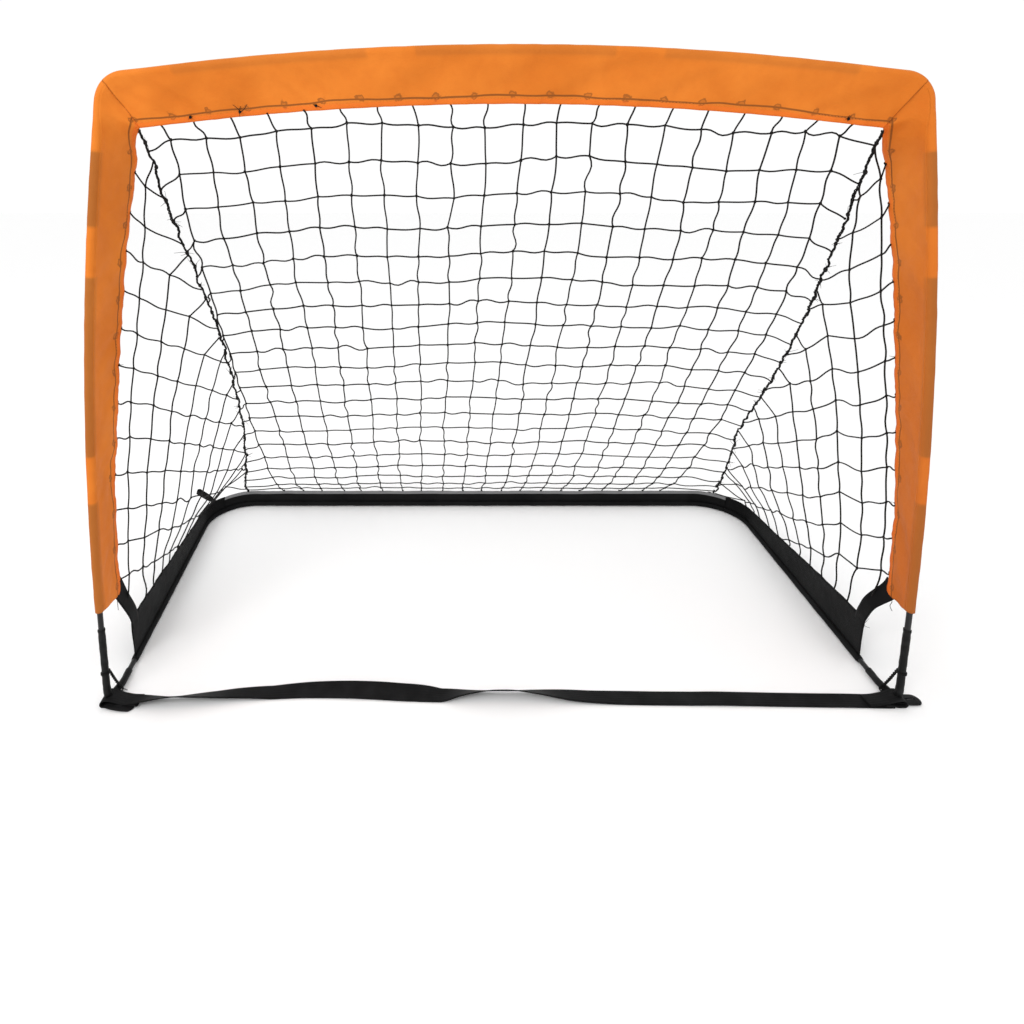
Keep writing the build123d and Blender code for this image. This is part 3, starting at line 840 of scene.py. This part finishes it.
def make_side_net(side):
    """Rows run back from the post's hem until they meet the skirt or the seam. Columns cross them."""
    tag = SIDE_NAMES[side]
    made = Strings()
    out = np.array((0.0, 0.25, 1.0))
    jog = {2: -0.006, 3: 0.011} if side > 0 else {}
    first = 0.015 if side > 0 else 0.0245
    columns = {}
    for i in range(len(SLOPES)):
        height = row_height(side, i)
        points = [hem_point(side, height) - np.array((0, 0.0015, 0))]
        ended = False
        for j in range(1, 13):
            d = first + (j - 1) * 0.0398
            z = height - FIRST_DROP[i] - SLOPES[i] * (d - first) + jog.get(j, 0.0) + rng.normal(0, 0.0014)
            p, span = side_point(side, d, z)
            if d > span - 0.012:
                break
            if z < skirt_top(p[1]) + 0.010:
                points.append(on_skirt(side, p[1], 0.002))
                ended = True
                break
            p = p + rng.normal(0, 0.0009, 3)
            points.append(p)
            columns.setdefault(j, []).append(p)
            made.knot(p, rng.uniform(0.0018, 0.0023), (0.9, 1.0, 1.15))
        if not ended:
            last = points[-1]
            meets = [seam_point(side, z) for z in np.linspace(last[2], last[2] - 0.07, 60)]
            drops = [abs((last[2] - p[2]) - 0.55 * np.linalg.norm((p - last)[:2])) for p in meets]
            points.append(meets[int(np.argmin(drops))])
        made.add(chain(points, 0.0013, 0.0012, out), STRING_R)
        made.knot(points[-1], 0.0021)
    for j, points in columns.items():
        top = points[0]
        reach = np.linalg.norm((seam_point(side, top[2] + 0.034) - top)[:2])
        above = seam_point(side, top[2] + min(0.05, 0.016 + 0.5 * reach))
        foot = (on_skirt(side, points[-1][1] + 0.006, 0.003) if j > 1
                else np.array((side * 0.6075, 0.079, 0.1100)))
        bow = 0.006 if j >= 6 else 0.0
        made.add(chain([above, *points, foot], 0.0012, bow, np.array((0.2 * side, 1.0, 0.0))), STRING_R)
        made.knot(foot, 0.0020)
    piece = made.piece(f"side_net_strings_{tag}", "net_string")
    fasten(piece, "front_hoop", f"side_net_{tag}")
    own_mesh(piece)


def make_lacing(side):
    """The seam between roof and side: strands twisted together, knotted every few centimetres."""
    tag = SIDE_NAMES[side]
    made = Strings()
    run = lengths(SEAM_LINES[side])[-1]
    s = np.arange(0, run, 0.0022)
    seed = 50 + side
    kink = [value_noise(seed + k, s * 60) + 0.6 * value_noise(seed + 9 + k, s * 150) for k in range(3)]
    path = at_length(SEAM_LINES[side], s) + np.stack(kink, axis=-1) * 0.0021
    twist(made, path, (1.0, 0.2, 0.1), 3, s * 2 * math.pi / 0.017,
          lambda strand: (0.00105 + 0.0007 * value_noise(seed + 20, s * 34 + strand * 7.3))[:, None], 0.00100)
    spot = 0.02
    while spot < run - 0.01:
        centre = at_length(path, min(spot, lengths(path)[-1]))
        made.knot(centre, rng.uniform(0.0026, 0.0034), (1.0, 0.8, 1.2))
        if rng.uniform() < 0.75:
            made.tails(centre, int(rng.integers(2, 6)), 0.011)
        spot += rng.uniform(0.026, 0.058)
    piece = made.piece(f"seam_lacing_{tag}", "black_cord")
    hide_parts(f"lacing_cord_{tag}")
    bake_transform(piece)


def make_loose_ends():
    """Knot tails that poke over the crossbar's hem."""
    made = Strings(5)
    for x, count, reach in ((-0.372, 4, 0.012), (-0.268, 4, 0.010), (-0.44, 2, 0.007), (0.46, 3, 0.008)):
        centre = bar_point(x) + FLAP_DOWN * (FLAP - 0.006) - np.array((0, 0.0032, 0.0))
        made.knot(centre, 0.0021)
        made.tails(centre, count, reach, 0.0006)
    piece = made.piece("hem_knot_tails", "black_cord")
    fasten(piece, "front_hoop")


def make_post_loops(side):
    """The loops that tie the side net round its border cord, seen at the inner edge of the post's hem."""
    made = Strings(5)
    for i in range(len(SLOPES)):
        hem = hem_point(side, row_height(side, i))
        made.knot(hem + np.array((0, 0.001, 0.0)), 0.0020, (0.9, 0.9, 1.2))
        if i % 2:
            made.tails(hem, 2, 0.006, 0.0005)
    piece = made.piece(f"hem_loops_{SIDE_NAMES[side]}", "net_string")
    fasten(piece, "front_hoop")
    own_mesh(piece)


# ---- black cloth of the base

def base_line(side):
    """The rail's and rear bar's axis on one side, from the ground corner to the middle of the rear bar.

    Its second value is the length to the middle of the rear bend.
    """
    arc = fillet(RAIL_BACK, unit(RAIL_BACK - RAIL_FRONT), np.array((-1.0, 0, 0)), 0.095, 30)
    rail = [RAIL_FRONT + (arc[0] - RAIL_FRONT) * t for t in np.linspace(0, 1, 80)[:-1]]
    bar = [arc[-1] + (np.array((0, RAIL_BACK[1], AXIS_Z)) - arc[-1]) * t for t in np.linspace(0, 1, 80)[1:]]
    return mirrored(np.array(rail + arc + bar), side), lengths(np.array(rail + arc[:15]))[-1]


def channel_loops(axis, seed):
    """The round cloth channel over a rod, and its attributes."""
    run = lengths(axis)[:, None]
    angles = np.linspace(0, 2 * math.pi, 22, endpoint=False)
    side = unit(np.cross(ways(axis), UP))
    radii = 0.0059 + 0.0003 * value_noise(seed, run * 55, angles * 1.5) - 0.0009 * np.exp(-run / 0.004)
    loops = round_loops(axis, radii, np.broadcast_to(UP, axis.shape), side)
    loops[..., 2] = np.maximum(loops[..., 2], 0.0001)
    whole = np.ones(radii.shape)
    return loops, {"along": run * whole, "across": angles * 0.0062 * whole}


def skirt_surface(path, tops, seed, lean):
    """Cloth that stands on the channel: rows from the channel's crown to the top edge."""
    run = lengths(path)
    out = unit(np.cross(ways(path), UP))
    rows = []
    for share in np.linspace(0, 1, 12):
        ripple = value_noise(seed, run * 17 + share * 0.8, share * 1.4)
        ripple += 0.4 * value_noise(seed + 1, run * 48, share * 3)
        pucker = value_noise(seed + 2, run * 110, 0.0) * (share > 0.85)
        row = path + out * (0.0014 * ripple * share + 0.0005 * pucker + lean * share)[:, None]
        row[:, 2] = 0.0122 + (tops - 0.0122) * share
        rows.append(row)
    return np.stack(rows, axis=1)


def make_rail_cloth(side, line, middle):
    """A side's channel over the rod, and the tall skirt that stands on it."""
    tag = SIDE_NAMES[side]
    axis = at_length(line, np.linspace(0.050, middle, 190))
    loops, data = channel_loops(axis, 60 + side)
    data = {k: v[:, ::side] for k, v in data.items()}
    piece = closed_loops(f"rail_channel_cloth_{tag}", loops[:, ::side], "black_cloth", data)
    fasten(piece, "base", f"side_channel_{tag}")

    s = np.linspace(0.053, middle, 150)
    path = at_length(line, s)
    tops = skirt_top(path[:, 1]) - 0.009 * np.exp(-(s - s[0]) / 0.012)
    surface = skirt_surface(path, tops, 70 + side, -0.0008 * side)
    surface[..., 1] -= 0.004 * np.linspace(0, 1, surface.shape[1]) * np.exp(-(s - s[0]) / 0.02)[:, None]
    piece = cloth(f"side_skirt_cloth_{tag}", surface[:, ::side], 0.0013, "black_cloth")
    fasten(piece, "base", f"side_skirt_{tag}")
    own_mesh(piece)


def make_hem_band(side):
    """The band from the sleeve's lower hem down to the skirt's corner, and the loose threads by it."""
    tag = SIDE_NAMES[side]
    hem = mirrored(hem_point(side, 0.150), side)
    centre = catmull([hem + (0.0005, -0.0080, 0.0060), hem + (-0.002, -0.0010, -0.0080),
                      (0.6065, 0.0755, 0.1160),
                      (0.6035, 0.0840, 0.0920), (0.6030, 0.0910, 0.0720), (0.6030, 0.0945, 0.0560)], 0.003)
    centre = mirrored(centre, side)
    wide = unit(np.cross(ways(centre), (side * 1.0, 0.0, 0.0)))
    width = np.interp(np.linspace(0, 1, len(centre)), [0, 0.4, 1], [0.0150, 0.0118, 0.0100])
    bowed = centre + np.array((side, 0, 0)) * (0.0012 * np.sin(np.linspace(0, 7, len(centre))))[:, None]
    band = ribbon(f"hem_band_cloth_{tag}", bowed, wide * width[:, None], 0.0014, "black_cloth")
    fasten(band, "base", f"hem_band_{tag}")
    fringe = Strings(5)
    start = centre[3] - UP * 0.010
    fringe.add(catmull([start, start + (0, -0.006, -0.008), start + (-0.001, -0.004, -0.017),
                        start + (0.001, -0.007, -0.024)], 0.002), 0.00045)
    fringe.tails(centre[-4] + np.array((0, -0.010, 0.004)), 3, 0.009, 0.0004)
    threads = fringe.piece(f"loose_threads_{tag}", "black_cord")
    fasten(threads, "base")
    for piece in (band, threads):
        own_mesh(piece)


def make_rear_cloth(line, middle):
    """The rear channel, from one bend to the other, and the low skirt on it with its pale top strip."""
    half = at_length(line, np.linspace(middle, lengths(line)[-1], 200))
    axis = np.vstack([half, mirrored(half[-2::-1], -1)])
    loops, data = channel_loops(axis, 80)
    piece = closed_loops("rear_channel_cloth", loops, "black_cloth", data)
    fasten(piece, "base", "rear_channel")
    surface = skirt_surface(axis, np.full(len(axis), 0.0392), 90, -0.001)
    lift = np.repeat(np.linspace(0, 1, surface.shape[1])[None], len(axis), axis=0)
    piece = cloth("rear_skirt_cloth", surface, 0.0013, "strip_cloth", {"lift": lift})
    fasten(piece, "base", "rear_skirt")


# ---- ground corners, strap and peg loops

def make_hose(side):
    """The thick hose that joins a post to its side rod, bent round the ground corner."""
    tag = SIDE_NAMES[side]
    points = [post_point(0.118), post_point(0.085), post_point(0.050), (0.6060, 0.0, 0.026),
              (0.6053, 0.0025, 0.0115), (0.6042, 0.010, 0.0064), (0.6020, 0.020, AXIS_Z),
              (0.5996, 0.034, AXIS_Z), (0.6012, 0.058, AXIS_Z)]
    line = mirrored(catmull(points, 0.0016), side)
    run = lengths(line)
    made = Strings(20)
    made.add(line, 0.0050 + 0.0004 * np.clip(run / 0.1, 0, 1) + 0.00022 * value_noise(31, run * 160)
             + 0.00025 * np.exp(-((run - 0.002) / 0.0018) ** 2))
    piece = made.piece(f"corner_hose_tube_{tag}", "black_hose")
    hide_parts(f"corner_hose_{tag}")
    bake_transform(piece)


def make_stay(side):
    """The short cord across the ground corner, tied round the post and round the hose behind the bend."""
    tag = SIDE_NAMES[side]
    high = mirrored(post_point(0.046) + np.array((-0.002, 0.0058, 0)), side)
    low = mirrored(np.array((0.5990, 0.0215, 0.0125)), side)
    t = np.linspace(0, 1, 40)[:, None]
    path = high + (low - high) * t - UP * 0.0008 * np.sin(math.pi * t)
    made = Strings()
    twist(made, path, (1.0, 0.1, 0.2), 2, t[:, 0] * 8 * math.pi, lambda strand: 0.0009, 0.00135)
    for centre, way, u in ((post_point(0.046), (0.0, 0.0, 1.0), (0.0, 1.0, 0.0)),
                           (np.array((0.5988, 0.0215, AXIS_Z)), (0.0, 1.0, 0.0), (0.0, 0.0, 1.0))):
        centre, way, u = mirrored(centre, side), np.array(way), np.array(u)
        w = np.linspace(0, 4.2 * math.pi, 60)[:, None]
        coil = (centre + (u * np.cos(w) + np.cross(way, u) * np.sin(w)) * 0.0058
                + way * (w / (2 * math.pi) - 1) * 0.0018)
        coil[:, 2] = np.maximum(coil[:, 2], 0.0010)
        made.add(coil, 0.0009)
    made.tails(low, 1, 0.010, 0.0008)
    piece = made.piece(f"stay_cord_twine_{tag}", "black_cord")
    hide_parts(f"stay_cord_{tag}")
    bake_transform(piece)


STRAP_LINE = [(-0.594, 0.0030), (-0.560, 0.0018), (-0.510, 0.0003), (-0.450, 0.0080), (-0.400, 0.0150),
              (-0.317, 0.0205), (-0.240, 0.0190), (-0.159, 0.0144), (-0.090, 0.0130), (-0.020, 0.0124),
              (0.060, 0.0115), (0.180, 0.0085), (0.360, 0.0060), (0.500, 0.0035), (0.594, 0.0020)]
STRAP_ROLL = [(-0.594, -4), (-0.560, -16), (-0.510, -44), (-0.470, -31), (-0.420, -15), (-0.360, 0), (-0.280, 17),
              (-0.190, 27), (-0.130, 20), (-0.095, 2), (-0.060, -28), (-0.025, -43), (0.020, -44), (0.055, -30),
              (0.105, -9), (0.180, 0), (0.594, 0)]


def make_strap():
    """Webbing along the ground line. It rolls slowly: to the front in two places, back in one."""
    line = catmull([(x, y, 0) for x, y in STRAP_LINE], 0.003)
    x = line[:, 0]
    half = 0.0127
    angle = np.radians(np.interp(x, *zip(*STRAP_ROLL)))
    angle = np.convolve(np.pad(angle, 5, mode="edge"), np.ones(11) / 11, "valid")
    wide = unit(np.cross(UP, ways(line))) * np.cos(angle)[:, None] + UP * np.sin(angle)[:, None]
    ripple = 0.0006 * value_noise(8, x * 21) + 0.0007
    middle = line + UP * (half * np.abs(np.sin(angle)) + 0.0009 + np.maximum(ripple, 0))[:, None]
    piece = ribbon("ground_strap_webbing", middle, wide * half, 0.0015, "webbing", columns=9)
    fasten(piece, "base", "ground_strap")


def make_corner(side):
    """The strap's end, wrapped round the hose and sewn back on itself."""
    tag = SIDE_NAMES[side]
    loop = [(0.580, 0.0048), (0.590, 0.0040), (0.598, 0.0026), (0.606, 0.0010),
            (0.6120, 0.0026), (0.6136, 0.0066), (0.6110, 0.0108), (0.6050, 0.0126), (0.5970, 0.0112),
            (0.5860, 0.0074), (0.5700, 0.0042), (0.5560, 0.0034)]
    line = catmull([(x, 0.0016, z) for x, z in loop], 0.002)
    line[:, 2] = np.maximum(line[:, 2], 0.0021)
    line = mirrored(line, side)
    wide = np.tile(np.array((0.0, 0.0124, 0.0)), (len(line), 1))
    wide[:, 2] = 0.0012 * np.sin(np.linspace(0, 5, len(line)))
    wide *= np.interp(np.linspace(0, 1, len(line)), [0, 0.3, 0.7, 1], [1.0, 0.92, 0.92, 1.0])[:, None]
    piece = ribbon(f"corner_wrap_{tag}", line, wide, 0.0014, "webbing", columns=9)
    fasten(piece, "base", f"corner_pocket_{tag}")


def u_loop(length, width, tail):
    """A U in plan: out along one leg, round the end and back, with both legs together in the tail."""
    r = width / 2
    legs = [(0.0, 0.0008), (tail, 0.0008), (tail + 0.25 * length, 0.7 * r), (tail + 0.55 * length, r)]
    end = [(tail + length - r + r * math.sin(w), r * math.cos(w))
           for w in np.linspace(0.15, math.pi - 0.15, 7)]
    return np.array(legs + end + [(x, -y) for x, y in legs[::-1]])


def loop_line(origin, azimuth, pitch, length, width, tail):
    """A peg loop's line, leaving origin at an azimuth and a pitch in degrees, and its tape's up."""
    a, p = math.radians(azimuth), math.radians(pitch)
    ahead = np.array((math.cos(a) * math.cos(p), math.sin(a) * math.cos(p), math.sin(p)))
    aside = np.array((-math.sin(a), math.cos(a), 0))
    plan = u_loop(length, width, tail)
    points = np.array(origin) + plan[:, :1] * ahead + plan[:, 1:] * aside
    return catmull(points, 0.0022), np.cross(ahead, aside)


def make_peg_loops():
    """The rear loops' tape stands on edge. The front loops lie flat, pressed to the ground."""
    for name, origin, azimuth, pitch, length, width, tail, tall in (
            ("peg_loop_rear_left", (-0.611, 0.575, 0.0065), 160, 20, 0.052, 0.010, 0.036, 0.0095),
            ("peg_loop_rear_right", (0.596, 0.594, 0.0062), 78, 0, 0.042, 0.010, 0.014, 0.0100)):
        line, up = loop_line(origin, azimuth, pitch, length, width, tail)
        wide = np.tile(up, (len(line), 1)) * tall / 2
        piece = ribbon(f"{name}_tape", line, wide, 0.0013, "webbing", columns=5)
        fasten(piece, "base", name)
    for name, origin, azimuth, length in (("peg_loop_front_right", (0.602, 0.002, 0.003), 3, 0.036),
                                          ("peg_loop_front_left", (-0.606, -0.006, 0.003), -3, 0.040)):
        line, _ = loop_line(origin, azimuth, 0, length, 0.0105, 0.0)
        wide = np.cross(ways(line), UP) * 0.0044 + UP * 0.0008
        line[:, 2] += 0.0007 * np.sin(np.linspace(0, 9, len(line)))
        piece = ribbon(f"{name}_tape", line, wide, 0.0014, "webbing", columns=5)
        fasten(piece, "base", name)


# ---- build

make_camera()
make_studio()
looks = {made.name.split(".")[0]: made for made in (
    orange_cloth(), black_cloth("black_cloth"), black_cloth("strip_cloth", True), webbing(), net_string(),
    black_cord(), black_hose(), fibreglass(), stitch_thread(),
    hard("ferrule_steel", (0.56, 0.56, 0.57), 0.3, 120, 0.3, 0.2, 400, 0.1, Metallic=1.0),
    hard("black_plastic", (0.02, 0.02, 0.021), 0.45, 90, 0.2, 0.35, 500, 0.15))}
for row in frame["record"]["subparts"]:
    node = frame["nodes"][row["node"]]
    node.data.materials.clear()
    node.data.materials.append(looks[row["material_slot"]])

make_crossbar_sleeve()
make_roof_net()
make_loose_ends()
for side in (-1, 1):
    rail, bend = base_line(side)
    make_rail_cloth(side, rail, bend)
    make_hem_band(side)
make_rear_cloth(rail, bend)
make_strap()
make_peg_loops()
for side in (-1, 1):
    for make in (make_post_sleeve, make_side_net, make_lacing, make_post_loops,
                 make_hose, make_stay, make_corner):
        make(side)
